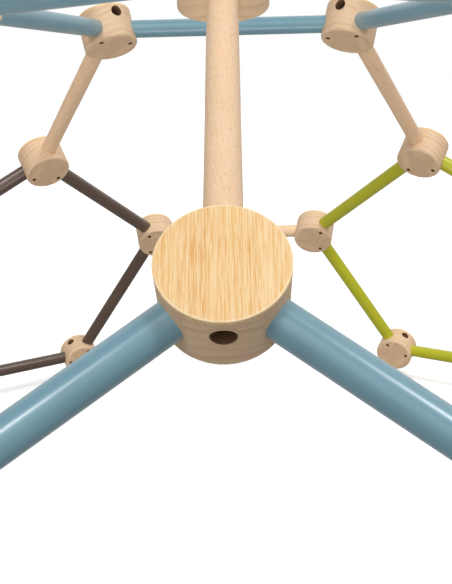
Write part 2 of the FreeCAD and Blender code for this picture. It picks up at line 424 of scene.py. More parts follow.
class Graph:
    """A node tree with short ways to add and join nodes."""

    def __init__(self, tree: bpy.types.NodeTree) -> None:
        """Keeps the tree that nodes go into."""
        self.tree = tree

    def add(self, kind: str, inputs: Inputs | None = None, **settings: object) -> bpy.types.Node:
        """Adds a node.

        Args:
            kind: the node's type name without its ShaderNode prefix.
            inputs: socket name or index to a value or to the socket that feeds it.
            settings: the node's own properties.

        Returns:
            The node.
        """
        node = self.tree.nodes.new("ShaderNode" + kind)
        for name, value in settings.items():
            setattr(node, name, value)
        self.feed(node, inputs or {})
        return node

    def feed(self, node: bpy.types.Node, inputs: Inputs) -> None:
        """Sets or links a node's inputs.

        Args:
            node: the node.
            inputs: socket name or index to a value or to the socket that feeds it.
        """
        for name, value in inputs.items():
            if isinstance(value, Socket):
                self.tree.links.new(value, node.inputs[name])
            else:
                node.inputs[name].default_value = value

    def math(self, operation: str, first: object, second: object = 0.0, clamp: bool = False) -> Socket:
        """Returns the result of a math node."""
        return self.add("Math", {0: first, 1: second}, operation=operation, use_clamp=clamp).outputs[0]

    def product(self, first: object, second: object) -> Socket:
        """Returns two values multiplied."""
        return self.math("MULTIPLY", first, second)

    def far(self, first: Socket, second: Socket) -> Socket:
        """Returns the length of the two sides of a right angle taken together."""
        squares = [self.math("POWER", side, 2.0) for side in (first, second)]
        return self.math("SQRT", self.math("ADD", *squares))

    def blend(self, share: object, first: object, second: object) -> Socket:
        """Mixes two colours.

        Args:
            share: how much there is of the second.
            first: the first colour.
            second: the second colour.

        Returns:
            The mixed colour.
        """
        node = self.add("Mix", data_type="RGBA")
        self.feed(node, {0: share, 6: first, 7: second})
        return node.outputs[2]

    def tint(self, base: object, mask: Socket, share: float, rgb: Rgb) -> Socket:
        """Returns a base with a colour laid over it where the mask is, at most by the share."""
        return self.blend(self.product(mask, share), base, colour(rgb))

    def spread(self, value: object, given: Range, wanted: Range = (0.0, 1.0)) -> Socket:
        """Moves a value smoothly from one range to another.

        Args:
            value: the value.
            given: the range that it is cut to.
            wanted: what the ends of that range become.

        Returns:
            The moved value.
        """
        node = self.add("MapRange", {"Value": value, "From Min": given[0], "From Max": given[1],
                                     "To Min": wanted[0], "To Max": wanted[1]},
                        interpolation_type="SMOOTHSTEP")
        return node.outputs[0]

    def scaled(self, vector: object, scale: object) -> Socket:
        """Returns a vector multiplied part by part."""
        return self.add("VectorMath", {0: vector, 1: scale}, operation="MULTIPLY").outputs[0]

    def stretch(self, vector: object, sizes: Size) -> Socket:
        """Returns coordinates in which a feature of the given size, in metres, has size one."""
        return self.scaled(vector, tuple(1.0 / size for size in sizes))

    def noise(self, vector: object, detail: float = 2.0, roughness: float = 0.5) -> Socket:
        """Returns noise with features of about one unit."""
        node = self.add("TexNoise", {"Vector": vector, "Scale": 1.0, "Detail": detail,
                                     "Roughness": roughness})
        return node.outputs["Fac"]

    def chance(self, number: Socket) -> Socket:
        """Returns a value from 0 to 1 that differs for each whole number."""
        return self.add("TexWhiteNoise", {"W": self.math("FLOOR", number)}, noise_dimensions="1D").outputs[0]

    def parts(self, vector: object) -> object:
        """Returns the X, Y and Z of a vector."""
        return self.add("SeparateXYZ", {0: vector}).outputs


class EffectGroup:
    """A shader node group that several finishes share. It is built once."""

    name = "effect"
    takes: dict[str, tuple[str, float | None]] = {}
    gives: tuple[str, ...] = ()

    @classmethod
    def tree(cls) -> bpy.types.NodeTree:
        """Builds the group the first time.

        Returns:
            The group's tree.
        """
        found = bpy.data.node_groups.get(cls.name)
        if found:
            return found
        tree = bpy.data.node_groups.new(cls.name, "ShaderNodeTree")
        for name, (kind, value) in cls.takes.items():
            socket = tree.interface.new_socket(name, in_out="INPUT", socket_type=kind)
            if value is not None:
                socket.default_value = value
        for name in cls.gives:
            tree.interface.new_socket(name, in_out="OUTPUT", socket_type="NodeSocketFloat")
        inside = Graph(tree)
        source = tree.nodes.new("NodeGroupInput")
        results = cls.wire(inside, source.outputs)
        sink = tree.nodes.new("NodeGroupOutput")
        inside.feed(sink, results)
        return tree

    @classmethod
    def wire(cls, graph: Graph, given: object) -> dict[str, Socket]:
        """Adds the group's nodes.

        Args:
            graph: the group's graph.
            given: its inputs, by name.

        Returns:
            What feeds each output.
        """
        raise NotImplementedError

    @classmethod
    def place(cls, graph: Graph, inputs: Inputs) -> object:
        """Adds the group to a material.

        Args:
            graph: the material's graph.
            inputs: the material's own values for the group.

        Returns:
            The group's outputs, by name.
        """
        node = graph.tree.nodes.new("ShaderNodeGroup")
        node.node_tree = cls.tree()
        graph.feed(node, inputs)
        return node.outputs


class GrowthRings(EffectGroup):
    """A board's growth rings, cut from a trunk whose pith runs along X beside the piece."""

    name = "growth_rings"
    takes = {"Vector": ("NodeSocketVector", None), "Spacing": ("NodeSocketFloat", 0.006),
             "Wander": ("NodeSocketFloat", 0.012), "Pith Depth": ("NodeSocketFloat", 0.12)}
    gives = ("Ring", "Shade")
    bend_size = (0.16, 0.07, 0.07)
    slow_rise = (0.15, 0.86)
    quick_fall = (0.88, 0.99)

    @classmethod
    def wire(cls, graph: Graph, given: object) -> dict[str, Socket]:
        """Measures the distance from a wandering pith and wraps it into rings.

        Args:
            graph: the group's graph.
            given: its inputs, by name.

        Returns:
            Ring, which is 1 in late wood, and Shade, which differs from year to year.
        """
        bend = graph.noise(graph.stretch(given["Vector"], cls.bend_size), 1.0)
        sway = graph.product(graph.math("SUBTRACT", bend, 0.5), given["Wander"])
        _, side, depth = graph.parts(given["Vector"])
        away = graph.far(side, graph.math("ADD", depth, given["Pith Depth"]))
        turns = graph.math("DIVIDE", graph.math("ADD", away, graph.product(sway, 2.0)), given["Spacing"])
        wave = graph.math("FRACT", turns)
        rise = graph.spread(wave, cls.slow_rise)
        fall = graph.spread(wave, cls.quick_fall, (1.0, 0.0))
        return {"Ring": graph.product(rise, fall), "Shade": graph.chance(turns)}


class LongFibres(EffectGroup):
    """Fibres and streaks that run along X."""

    name = "long_fibres"
    takes = {"Vector": ("NodeSocketVector", None), "Length": ("NodeSocketFloat", 0.03),
             "Width": ("NodeSocketFloat", 0.001), "Sharpness": ("NodeSocketFloat", 0.5)}
    gives = ("Streak", "Pore")
    softest = 0.24
    sharpening = 0.22
    pore_scale = (3.1, 2.7, 2.7)
    pore_range = (0.60, 0.74)

    @classmethod
    def wire(cls, graph: Graph, given: object) -> dict[str, Socket]:
        """Stretches noise along X, once for broad streaks and once for short dark pores.

        Args:
            graph: the group's graph.
            given: its inputs, by name.

        Returns:
            Streak and Pore, both from 0 to 1.
        """
        along = graph.math("DIVIDE", 1.0, given["Length"])
        across = graph.math("DIVIDE", 1.0, given["Width"])
        scale = graph.add("CombineXYZ", {0: along, 1: across, 2: across}).outputs[0]
        drawn = graph.scaled(given["Vector"], scale)
        broad = graph.noise(drawn, 3.0, 0.62)
        blur = graph.math("SUBTRACT", cls.softest, graph.product(given["Sharpness"], cls.sharpening))
        edges = {"Value": broad, "From Min": graph.math("SUBTRACT", 0.5, blur),
                 "From Max": graph.math("ADD", 0.5, blur)}
        streak = graph.add("MapRange", edges).outputs[0]
        pore = graph.spread(graph.noise(graph.scaled(drawn, cls.pore_scale), 1.0), cls.pore_range)
        return {"Streak": streak, "Pore": pore}


class HandlingMarks(EffectGroup):
    """Faint smudges and fine scuffs from use, and the soft unevenness of a brushed or sprayed coat."""

    name = "handling_marks"
    takes = {"Vector": ("NodeSocketVector", None), "Coat Size": ("NodeSocketFloat", 0.0016)}
    gives = ("Smudge", "Scuff", "Coat")
    smudge_size = (0.05, 0.05, 0.09)
    smudge_range = (0.35, 0.72)
    scuff_size = (0.004, 0.004, 0.03)
    scuff_range = (0.66, 0.78)

    @classmethod
    def wire(cls, graph: Graph, given: object) -> dict[str, Socket]:
        """Layers three scales of noise.

        Args:
            graph: the group's graph.
            given: its inputs, by name.

        Returns:
            Smudge, Scuff and Coat, all from 0 to 1.
        """
        broad = graph.noise(graph.stretch(given["Vector"], cls.smudge_size), 3.0)
        dents = graph.noise(graph.stretch(given["Vector"], cls.scuff_size), 2.0, 0.7)
        scale = graph.math("DIVIDE", 1.0, given["Coat Size"])
        small = graph.add("VectorMath", {0: given["Vector"], "Scale": scale}, operation="SCALE").outputs[0]
        return {"Smudge": graph.spread(broad, cls.smudge_range),
                "Scuff": graph.spread(dents, cls.scuff_range), "Coat": graph.noise(small, 2.0)}


class RimHighlight(EffectGroup):
    """A mask along the round rim of a turned piece, where a painted highlight lightens the eased edge, broken
    up into patches.
    """

    name = "rim_wear"
    takes = {"Vector": ("NodeSocketVector", None), "Radius": ("NodeSocketFloat", 0.05),
             "Height": ("NodeSocketFloat", 0.03), "Width": ("NodeSocketFloat", 0.002)}
    gives = ("Rim",)
    patch_size = (0.012, 0.012, 0.012)
    patch_range = (0.3, 0.62)
    # the weakest share of the painted rim highlight between patches
    least_worn = 0.45

    @classmethod
    def wire(cls, graph: Graph, given: object) -> dict[str, Socket]:
        """Measures how near a point is to the rim, across it and along the axis.

        Args:
            graph: the group's graph.
            given: its inputs, by name.

        Returns:
            Rim, which is 1 where the painted highlight is strongest.
        """
        x, y, z = graph.parts(given["Vector"])
        across = graph.math("SUBTRACT", graph.far(x, y), given["Radius"])
        upward = graph.math("SUBTRACT", z, given["Height"])
        share = graph.math("DIVIDE", graph.far(across, upward), given["Width"])
        near = graph.math("SUBTRACT", 1.0, share, clamp=True)
        patches = graph.noise(graph.stretch(given["Vector"], cls.patch_size), 2.0)
        # the rim mask places a painted highlight; the patches only break it up
        broken = graph.spread(patches, cls.patch_range, (cls.least_worn, 1.0))
        return {"Rim": graph.product(near, broken)}


@dataclass(frozen=True)
class RingSize:
    """Growth rings: how far apart they are, how they wander and how deep the pith lies, in metres."""

    spacing: float
    wander: float
    pith_depth: float

    def place(self, graph: Graph, grain: Socket) -> object:
        """Adds growth rings of this size and returns their outputs."""
        return GrowthRings.place(graph, {"Vector": grain, "Spacing": self.spacing, "Wander": self.wander,
                                         "Pith Depth": self.pith_depth})


@dataclass(frozen=True)
class FibreSize:
    """Fibres: their length and width in metres, and how crisp they are from 0 to 1."""

    length: float
    width: float
    sharpness: float

    def place(self, graph: Graph, grain: Socket) -> object:
        """Adds fibres of this size and returns their outputs."""
        return LongFibres.place(graph, {"Vector": grain, "Length": self.length, "Width": self.width,
                                        "Sharpness": self.sharpness})


@dataclass(frozen=True)
class RimPlace:
    """A rim with a painted highlight: its radius, its height in the piece's own frame and its width, in
    metres.
    """

    radius: float
    height: float
    width: float

    def place(self, graph: Graph, place: Socket) -> object:
        """Adds the painted highlight mask of this rim and returns its outputs."""
        return RimHighlight.place(graph, {"Vector": place, "Radius": self.radius, "Height": self.height,
                                     "Width": self.width})


# ---------------------------------------------------------------- finishes


@dataclass(frozen=True)
class Finish:
    """A surface finish. Its name is the material's."""

    name: str

    def material(self) -> bpy.types.Material:
        """Builds the finish's material the first time.

        Returns:
            The material.
        """
        found = bpy.data.materials.get(self.name)
        if found:
            return found
        made = bpy.data.materials.new(self.name)
        made.use_nodes = True
        made.node_tree.nodes.clear()
        graph = Graph(made.node_tree)
        shader = graph.add("BsdfPrincipled")
        graph.add("OutputMaterial", {"Surface": shader.outputs[0]})
        self.paint(graph, shader)
        return made

    def paint(self, graph: Graph, shader: bpy.types.Node) -> None:
        """Adds the nodes that feed the shader.

        Args:
            graph: the material's graph.
            shader: its shader.
        """
        raise NotImplementedError

    def place(self, graph: Graph) -> Socket:
        """Returns the piece's own coordinates, in metres."""
        return graph.add("Attribute", attribute_name="place").outputs["Vector"]

    def grain(self, graph: Graph) -> Socket:
        """Returns the coordinates of the piece's board, whose fibres run along X."""
        return graph.add("Attribute", attribute_name="grain").outputs["Vector"]

    def worn_gloss(self, graph: Graph, mask: Socket, rough: Range) -> Socket:
        """Returns a roughness that goes from the first value to the second where the mask is."""
        return graph.spread(mask, (0.0, 1.0), rough)

    def bump(self, graph: Graph, shader: bpy.types.Node, height: Socket, depth: float) -> None:
        """Gives the shader a bump of the given depth in metres."""
        node = graph.add("Bump", {"Height": height, "Strength": 1.0, "Distance": depth})
        graph.feed(shader, {"Normal": node.outputs[0]})


@dataclass(frozen=True)
class HubWood(Finish):
    """Clear-varnished hub: pale wood with soft growth bands, fine pores and a painted highlight along its
    inner rim.
    """

    early: Rgb = (0.870, 0.625, 0.400)
    late: Rgb = (0.640, 0.405, 0.235)
    # a paler colour on the inner rim: a painted highlight of the rounded edge
    worn: Rgb = (0.880, 0.680, 0.460)
    rings: RingSize = RingSize(0.0105, 0.014, 0.135)
    fibres: FibreSize = FibreSize(0.022, 0.0013, 0.75)
    rim: RimPlace = RimPlace(0.05, -0.0375, 0.006)
    band: Range = (0.15, 0.65)
    streaked: float = 0.35
    pored: float = 0.45
    smudged: float = 0.15
    # how strongly the painted rim highlight shows
    rubbed: float = 0.6
    rough: Range = (0.52, 0.40)
    specular: float = 0.4
    streak_relief: float = 0.4
    relief: float = 0.00012

    def paint(self, graph: Graph, shader: bpy.types.Node) -> None:
        """Layers growth rings, fibres, marks and a painted highlight along the inner rim.

        Args:
            graph: the material's graph.
            shader: its shader.
        """
        own = self.grain(graph)
        rings = self.rings.place(graph, own)
        fibres = self.fibres.place(graph, own)
        marks = HandlingMarks.place(graph, {"Vector": own})
        rim = self.rim.place(graph, self.place(graph))
        band = graph.product(rings["Ring"], graph.spread(rings["Shade"], (0.0, 1.0), self.band))
        wood = graph.blend(band, colour(self.early), colour(self.late))
        wood = graph.tint(wood, fibres["Streak"], self.streaked, self.late)
        wood = graph.tint(wood, fibres["Pore"], self.pored, self.late)
        wood = graph.tint(wood, marks["Smudge"], self.smudged, self.late)
        # painted highlight along the rounded inner rim
        wood = graph.tint(wood, rim["Rim"], self.rubbed, self.worn)
        rough = self.worn_gloss(graph, marks["Smudge"], self.rough)
        graph.feed(shader, {"Base Color": wood, "Roughness": rough, "Specular IOR Level": self.specular})
        raised = graph.product(fibres["Streak"], self.streak_relief)
        self.bump(graph, shader, graph.math("SUBTRACT", raised, fibres["Pore"]), self.relief)


@dataclass(frozen=True)
class Bamboo(Finish):
    """Bamboo board: narrow strips with long flame-like streaks, varnished, and a painted highlight on its
    eased rim.
    """

    pale: Rgb = (0.890, 0.560, 0.215)
    warm: Rgb = (0.760, 0.360, 0.080)
    light: Rgb = (0.970, 0.765, 0.460)
    # a paler colour on the eased rim: a painted highlight
    rim_light: Rgb = (0.980, 0.820, 0.560)
    strip_width: float = 0.0056
    strip_sway: float = 0.004
    sway_size: Size = (0.2, 0.2, 0.2)
    strip_share: float = 0.5
    drift_size: Size = (0.5, 0.018, 0.018)
    drift_range: Range = (0.35, 0.65)
    drift_share: float = 0.5
    glue_width: float = 0.05
    broad: FibreSize = FibreSize(0.060, 0.0017, 0.6)
    fine: FibreSize = FibreSize(0.032, 0.0010, 0.85)
    rim: RimPlace = RimPlace(0.05, 0.028, 0.0022)
    flamed: float = 0.45
    lined: float = 0.65
    pored: float = 0.70
    glued: float = 0.40
    # how strongly the painted rim highlight shows
    rubbed: float = 0.8
    rough: Range = (0.46, 0.36)
    coat: float = 0.15
    coat_rough: float = 0.25
    streak_relief: float = 0.5
    relief: float = 0.00006

    def paint(self, graph: Graph, shader: bpy.types.Node) -> None:
        """Gives every strip its own tone, then adds streaks, fibres and the painted highlight on the rim.

        Args:
            graph: the material's graph.
            shader: its shader.
        """
        own = self.grain(graph)
        sway = graph.product(graph.noise(graph.stretch(own, self.sway_size)), self.strip_sway)
        _, side, _ = graph.parts(own)
        lane = graph.math("DIVIDE", graph.math("ADD", side, sway), self.strip_width)
        seam = graph.math("PINGPONG", graph.math("FRACT", lane), 0.5)
        glue = graph.spread(seam, (0.0, self.glue_width), (1.0, 0.0))
        broad = self.broad.place(graph, own)
        fine = self.fine.place(graph, own)
        marks = HandlingMarks.place(graph, {"Vector": own})
        edge = self.rim.place(graph, self.place(graph))
        slow = graph.noise(graph.stretch(own, self.drift_size))
        drift = graph.spread(slow, self.drift_range, (0.0, self.drift_share))
        tone = graph.math("ADD", graph.product(graph.chance(lane), self.strip_share), drift)
        board = graph.blend(tone, colour(self.pale), colour(self.warm))
        board = graph.tint(board, broad["Streak"], self.flamed, self.light)
        board = graph.tint(board, fine["Streak"], self.lined, self.light)
        board = graph.tint(board, broad["Pore"], self.pored, self.warm)
        board = graph.tint(board, glue, self.glued, self.warm)
        # painted highlight along the eased rim
        board = graph.tint(board, edge["Rim"], self.rubbed, self.rim_light)
        rough = self.worn_gloss(graph, marks["Smudge"], self.rough)
        graph.feed(shader, {"Base Color": board, "Roughness": rough, "Coat Weight": self.coat,
                            "Coat Roughness": self.coat_rough})
        raised = graph.product(fine["Streak"], self.streak_relief)
        self.bump(graph, shader, graph.math("SUBTRACT", raised, glue), self.relief)


@dataclass(frozen=True)
class Beech(Finish):
    """Natural beech rod: pinkish, with fine slanting grain and short dark rays."""

    light: Rgb = (0.930, 0.630, 0.385)
    dark: Rgb = (0.760, 0.460, 0.250)
    streak: Rgb = (0.93, 0.70, 0.49)
    ray: Rgb = (0.62, 0.34, 0.16)
    grime: Rgb = (0.66, 0.44, 0.28)
    rings: RingSize = RingSize(0.0042, 0.010, 0.055)
    fibres: FibreSize = FibreSize(0.030, 0.0012, 0.9)
    rays: FibreSize = FibreSize(0.014, 0.0022, 0.9)
    banded: float = 0.22
    streaked: float = 0.45
    rayed: float = 0.70
    smudged: float = 0.12
    rough: Range = (0.48, 0.36)
    coat: float = 0.1
    coat_rough: float = 0.3
    relief: float = 0.00008

    def paint(self, graph: Graph, shader: bpy.types.Node) -> None:
        """Layers soft growth rings, fibres and short dark rays.

        Args:
            graph: the material's graph.
            shader: its shader.
        """
        own = self.grain(graph)
        rings = self.rings.place(graph, own)
        fibres = self.fibres.place(graph, own)
        rays = self.rays.place(graph, own)
        marks = HandlingMarks.place(graph, {"Vector": own})
        wood = graph.blend(graph.product(rings["Ring"], self.banded), colour(self.light), colour(self.dark))
        wood = graph.tint(wood, fibres["Streak"], self.streaked, self.streak)
        wood = graph.tint(wood, rays["Pore"], self.rayed, self.ray)
        wood = graph.tint(wood, marks["Smudge"], self.smudged, self.grime)
        rough = self.worn_gloss(graph, marks["Smudge"], self.rough)
        graph.feed(shader, {"Base Color": wood, "Roughness": rough, "Coat Weight": self.coat,
                            "Coat Roughness": self.coat_rough})
        self.bump(graph, shader, graph.math("SUBTRACT", fibres["Streak"], rays["Pore"]), self.relief)


@dataclass(frozen=True)
class RodPaint(Finish):
    """Satin paint on a wooden rod, through which the grain shows faintly as relief."""

    shade: RingColour
    coat: float
    coat_rough: float = 0.24
    coat_size: float = 0.0022
    fibres: FibreSize = FibreSize(0.05, 0.0015, 0.5)
    deep: float = 0.86
    pale: Range = (1.10, 0.012)
    smudged: float = 0.6
    streaked: float = 0.30
    scuffed: float = 0.25
    rough: Range = (0.34, 0.42)
    coat_relief: float = 0.6
    relief: float = 0.00004

    def paint(self, graph: Graph, shader: bpy.types.Node) -> None:
        """Varies the coat a little, with rubbed patches and the grain under it.

        Args:
            graph: the material's graph.
            shader: its shader.
        """
        own = self.grain(graph)
        fibres = self.fibres.place(graph, own)
        marks = HandlingMarks.place(graph, {"Vector": own, "Coat Size": self.coat_size})
        base = self.shade.value
        rubbed = paler(base, *self.pale)
        film = graph.tint(colour(base), marks["Smudge"], self.smudged, darker(base, self.deep))
        film = graph.tint(film, fibres["Streak"], self.streaked, rubbed)
        film = graph.tint(film, marks["Scuff"], self.scuffed, rubbed)
        rough = self.worn_gloss(graph, marks["Smudge"], self.rough)
        graph.feed(shader, {"Base Color": film, "Roughness": rough, "Coat Weight": self.coat,
                            "Coat Roughness": self.coat_rough})
        relief = graph.math("ADD", fibres["Streak"], graph.product(marks["Coat"], self.coat_relief))
        self.bump(graph, shader, relief, self.relief)


@dataclass(frozen=True)
class Rubber(Finish):
    """Moulded black rubber, a little dusty."""

    clean: Rgb = (0.022, 0.022, 0.023)
    dust: Rgb = (0.075, 0.072, 0.066)
    dusty: float = 0.5
    pebble: float = 0.0008
    rough: Range = (0.62, 0.85)
    relief: float = 0.0002

    def paint(self, graph: Graph, shader: bpy.types.Node) -> None:
        """Adds a fine pebble and dust.

        Args:
            graph: the material's graph.
            shader: its shader.
        """
        marks = HandlingMarks.place(graph, {"Vector": self.grain(graph), "Coat Size": self.pebble})
        skin = graph.tint(colour(self.clean), marks["Smudge"], self.dusty, self.dust)
        rough = self.worn_gloss(graph, marks["Smudge"], self.rough)
        graph.feed(shader, {"Base Color": skin, "Roughness": rough})
        self.bump(graph, shader, marks["Coat"], self.relief)


@dataclass(frozen=True)
class Metal(Finish):
    """Plated or browned metal of the fasteners."""

    shade: Rgb
    tarnish: Rgb
    texture: float = 0.0006
    rough: Range = (0.30, 0.48)
    relief: float = 0.00003

    def paint(self, graph: Graph, shader: bpy.types.Node) -> None:
        """Adds handling marks and a faint texture.

        Args:
            graph: the material's graph.
            shader: its shader.
        """
        place = graph.add("TexCoord").outputs["Object"]
        marks = HandlingMarks.place(graph, {"Vector": place, "Coat Size": self.texture})
        aged = graph.blend(marks["Smudge"], colour(self.shade), colour(self.tarnish))
        rough = self.worn_gloss(graph, marks["Scuff"], self.rough)
        graph.feed(shader, {"Base Color": aged, "Roughness": rough, "Metallic": 1.0})
        self.bump(graph, shader, marks["Coat"], self.relief)


@dataclass(frozen=True)
class PaleFloor(Finish):
    """A matt pale studio floor, lit from below like a light table, which throws little light on the dome."""

    thrown: Rgb = (0.37, 0.365, 0.36)
    seen: Rgb = (0.97, 0.97, 0.97)
    glow: float = 0.28
    rough: float = 0.9
    specular: float = 0.1

    def paint(self, graph: Graph, shader: bpy.types.Node) -> None:
        """Keeps the floor plain.

        Args:
            graph: the material's graph.
            shader: its shader.
        """
        direct = graph.add("LightPath").outputs["Is Camera Ray"]
        graph.feed(shader, {"Base Color": graph.blend(direct, colour(self.thrown), colour(self.seen)),
                            "Roughness": self.rough, "Specular IOR Level": self.specular,
                            "Emission Color": colour(self.seen),
                            "Emission Strength": graph.product(direct, self.glow)})


HUB_WOOD = HubWood("varnished_hub_wood")
# the walls of the holes: the same wood made dark, as painted shade of the deep holes
SHADED_HOLE_WOOD = HubWood("bored_hub_wood", (0.24, 0.125, 0.060), (0.15, 0.070, 0.034), (0.28, 0.155, 0.080))
BAMBOO = Bamboo("varnished_bamboo")
BEECH = Beech("varnished_beech")
RUBBER = Rubber("moulded_rubber")
ZINC = Metal("zinc_plate", (0.56, 0.57, 0.59), (0.38, 0.37, 0.35))
DARK_BRONZE = Metal("dark_bronze", (0.300, 0.210, 0.140), (0.160, 0.110, 0.080))
BRASS = Metal("turned_brass", (0.72, 0.53, 0.22), (0.50, 0.34, 0.13))
PAINTS = {
    RingColour.LIGHT_BLUE: RodPaint("satin_light_blue", RingColour.LIGHT_BLUE, 0.9),
    RingColour.DARK_BROWN: RodPaint("satin_dark_brown", RingColour.DARK_BROWN, 0.4),
    RingColour.LIME_GREEN: RodPaint("satin_lime_green", RingColour.LIME_GREEN, 0.25),
}
FASTENERS = {"link_bolts": ZINC, "link_washers": ZINC, "threaded_inserts": BRASS, "ring_screws": DARK_BRONZE}


# ---------------------------------------------------------------- sub-assemblies


@dataclass(frozen=True)
class Rod:
    """A round bar between two hubs, seated in their sockets."""

    radius: float = 16 * MM
    seat: float = 22 * MM
    ease: float = 1 * MM
    segments: int = 72

    def build(self, name: str, first: Vector, second: Vector, finish: Finish,
              board: Board) -> bpy.types.Object:
        """Makes the bar.

        Args:
            name: the piece's name.
            first: one hub's centre.
            second: the other hub's centre.
            finish: what it is painted or varnished with.
            board: how its grain runs.

        Returns:
            The piece, whose own +Z runs along the bar.
        """
        length = (second - first).length - 2.0 * self.seat
        way = (second - first).normalized()
        solid = turned(rod_profile(self.radius, 0.0, length, self.ease), self.segments)
        return to_object(solid, name, aimed(first + way * self.seat, way), (finish,), board)


@dataclass(frozen=True)
class Hub:
    """A drum with three sockets, a bolt well and two screw recesses, under a bamboo disc."""

    rod: Rod
    radius: float = 50 * MM
    inner: float = 37.5 * MM
    outer: float = 28 * MM
    cap: float = 4 * MM
    inner_round: float = 5 * MM
    cap_round: float = 0.6 * MM
    socket_gap: float = 0.1 * MM
    well_radius: float = 10 * MM
    well_floor: float = 28 * MM
    bolt_hole: float = 4.5 * MM
    overlap: float = 1 * MM
    screw_distance: float = 36 * MM
    recess_radius: float = 4 * MM
    recess_depth: float = 8 * MM
    recess_ease: float = 0.5 * MM
    cutter_ease: float = 0.0001 * MM
    weld: float = 0.001 * MM
    inner_flat: float = 0.75
    face_ring: float = 0.6
    segments: int = 160
    cutter_segments: int = 64
    inner_round_steps: int = 8
    cap_round_steps: int = 5

    def drum(self) -> bmesh.types.BMesh:
        """Makes the plain drum with its rounded inner rim.

        Returns:
            The drum, in the hub's own frame.
        """
        low = -self.inner
        high = self.outer - self.cap
        round_centre = (self.radius - self.inner_round, low + self.inner_round)
        profile = [(0.0, low), (self.inner_flat * self.radius, low)]
        profile += arc(round_centre, self.inner_round, -90.0, 0.0, self.inner_round_steps)
        profile += [(self.radius, 0.5 * (low + high)), (self.radius, high),
                    (self.face_ring * self.radius, high), (0.0, high)]
        return turned(profile, self.segments)

    def cutters(self, place: HubPlace) -> bmesh.types.BMesh:
        """Makes every hole of the drum.

        Args:
            place: the hub.

        Returns:
            The holes as one set of bars, in the hub's own frame.
        """
        bars = bmesh.new()
        link = place.local(place.link_way)
        ring_ways = [place.local(way) for way in place.ring_ways]
        socket = self.rod.radius + self.socket_gap
        holes = [(way, self.rod.seat, socket) for way in (*ring_ways, link)]
        holes.append((-link, self.well_floor, self.well_radius))
        for way, start, radius in holes:
            bar = rod_profile(radius, 0.0, 2.0 * self.radius, self.cutter_ease)
            self.add_bar(bars, bar, aimed(way * start, way))
        low = -self.well_floor - self.overlap
        high = self.rod.seat + self.overlap
        self.add_bar(bars, rod_profile(self.bolt_hole, low, high, self.cutter_ease), aimed(Vector(), link))
        mouth_radius = self.recess_radius + self.recess_ease
        recess = [(0.0, -self.overlap), (mouth_radius, -self.overlap), (mouth_radius, 0.0),
                  (self.recess_radius, self.recess_ease), (self.recess_radius, self.recess_depth),
                  (0.0, self.recess_depth)]
        for way in ring_ways:
            flat = Vector((way.x, way.y, 0.0)).normalized() * self.screw_distance
            self.add_bar(bars, recess, Matrix.Translation((flat.x, flat.y, -self.inner)))
        return bars

    def add_bar(self, bars: bmesh.types.BMesh, profile: Profile, matrix: Matrix) -> None:
        """Adds a turned bar to a set of bars.

        Args:
            bars: the set.
            profile: the bar's profile.
            matrix: where the bar is.
        """
        bar = turned(profile, self.cutter_segments)
        bar.transform(matrix)
        copy = bpy.data.meshes.new("bar")
        bar.to_mesh(copy)
        bar.free()
        bars.from_mesh(copy)
        bpy.data.meshes.remove(copy)

    def body(self, place: HubPlace) -> bpy.types.Mesh:
        """Cuts the holes of a hub into its drum.

        Args:
            place: the hub.

        Returns:
            The drum, in the hub's own frame, with the walls of its holes in the second material, whose dark
            colour is painted shade.
        """
        blank = to_object(self.drum(), "blank", Matrix.Identity(4), (HUB_WOOD,))
        # the cutters carry the dark hole material, painted shade, onto the walls that they cut
        knife = to_object(self.cutters(place), "knife", Matrix.Identity(4), (SHADED_HOLE_WOOD,))
        cut = blank.modifiers.new("holes", "BOOLEAN")
        cut.material_mode = "TRANSFER"
        cut.operation = "DIFFERENCE"
        cut.solver = "EXACT"
        cut.use_self = True
        cut.object = knife
        graph = bpy.context.evaluated_depsgraph_get()
        result = bmesh.new()
        result.from_mesh(blank.evaluated_get(graph).to_mesh())
        for spare in (blank, knife):
            mesh = spare.data
            bpy.data.objects.remove(spare)
            bpy.data.meshes.remove(mesh)
        bmesh.ops.remove_doubles(result, verts=result.verts, dist=self.weld)
        for layer in list(result.verts.layers.float_vector.values()):
            result.verts.layers.float_vector.remove(layer)
        made = bpy.data.meshes.new(f"{place.corner.name.lower()}_body")
        result.to_mesh(made)
        result.free()
        return made

    def disc(self) -> bmesh.types.BMesh:
        """Makes the bamboo disc with its eased rim.

        Returns:
            The disc, in the hub's own frame.
        """
        low = self.outer - self.cap
        centre = (self.radius - self.cap_round, self.outer - self.cap_round)
        profile = [(0.0, low), (self.face_ring * self.radius, low), (self.radius, low)]
        profile += arc(centre, self.cap_round, 0.0, 90.0, self.cap_round_steps)
        profile += [(self.face_ring * self.radius, self.outer), (0.0, self.outer)]
        return turned(profile, self.segments)


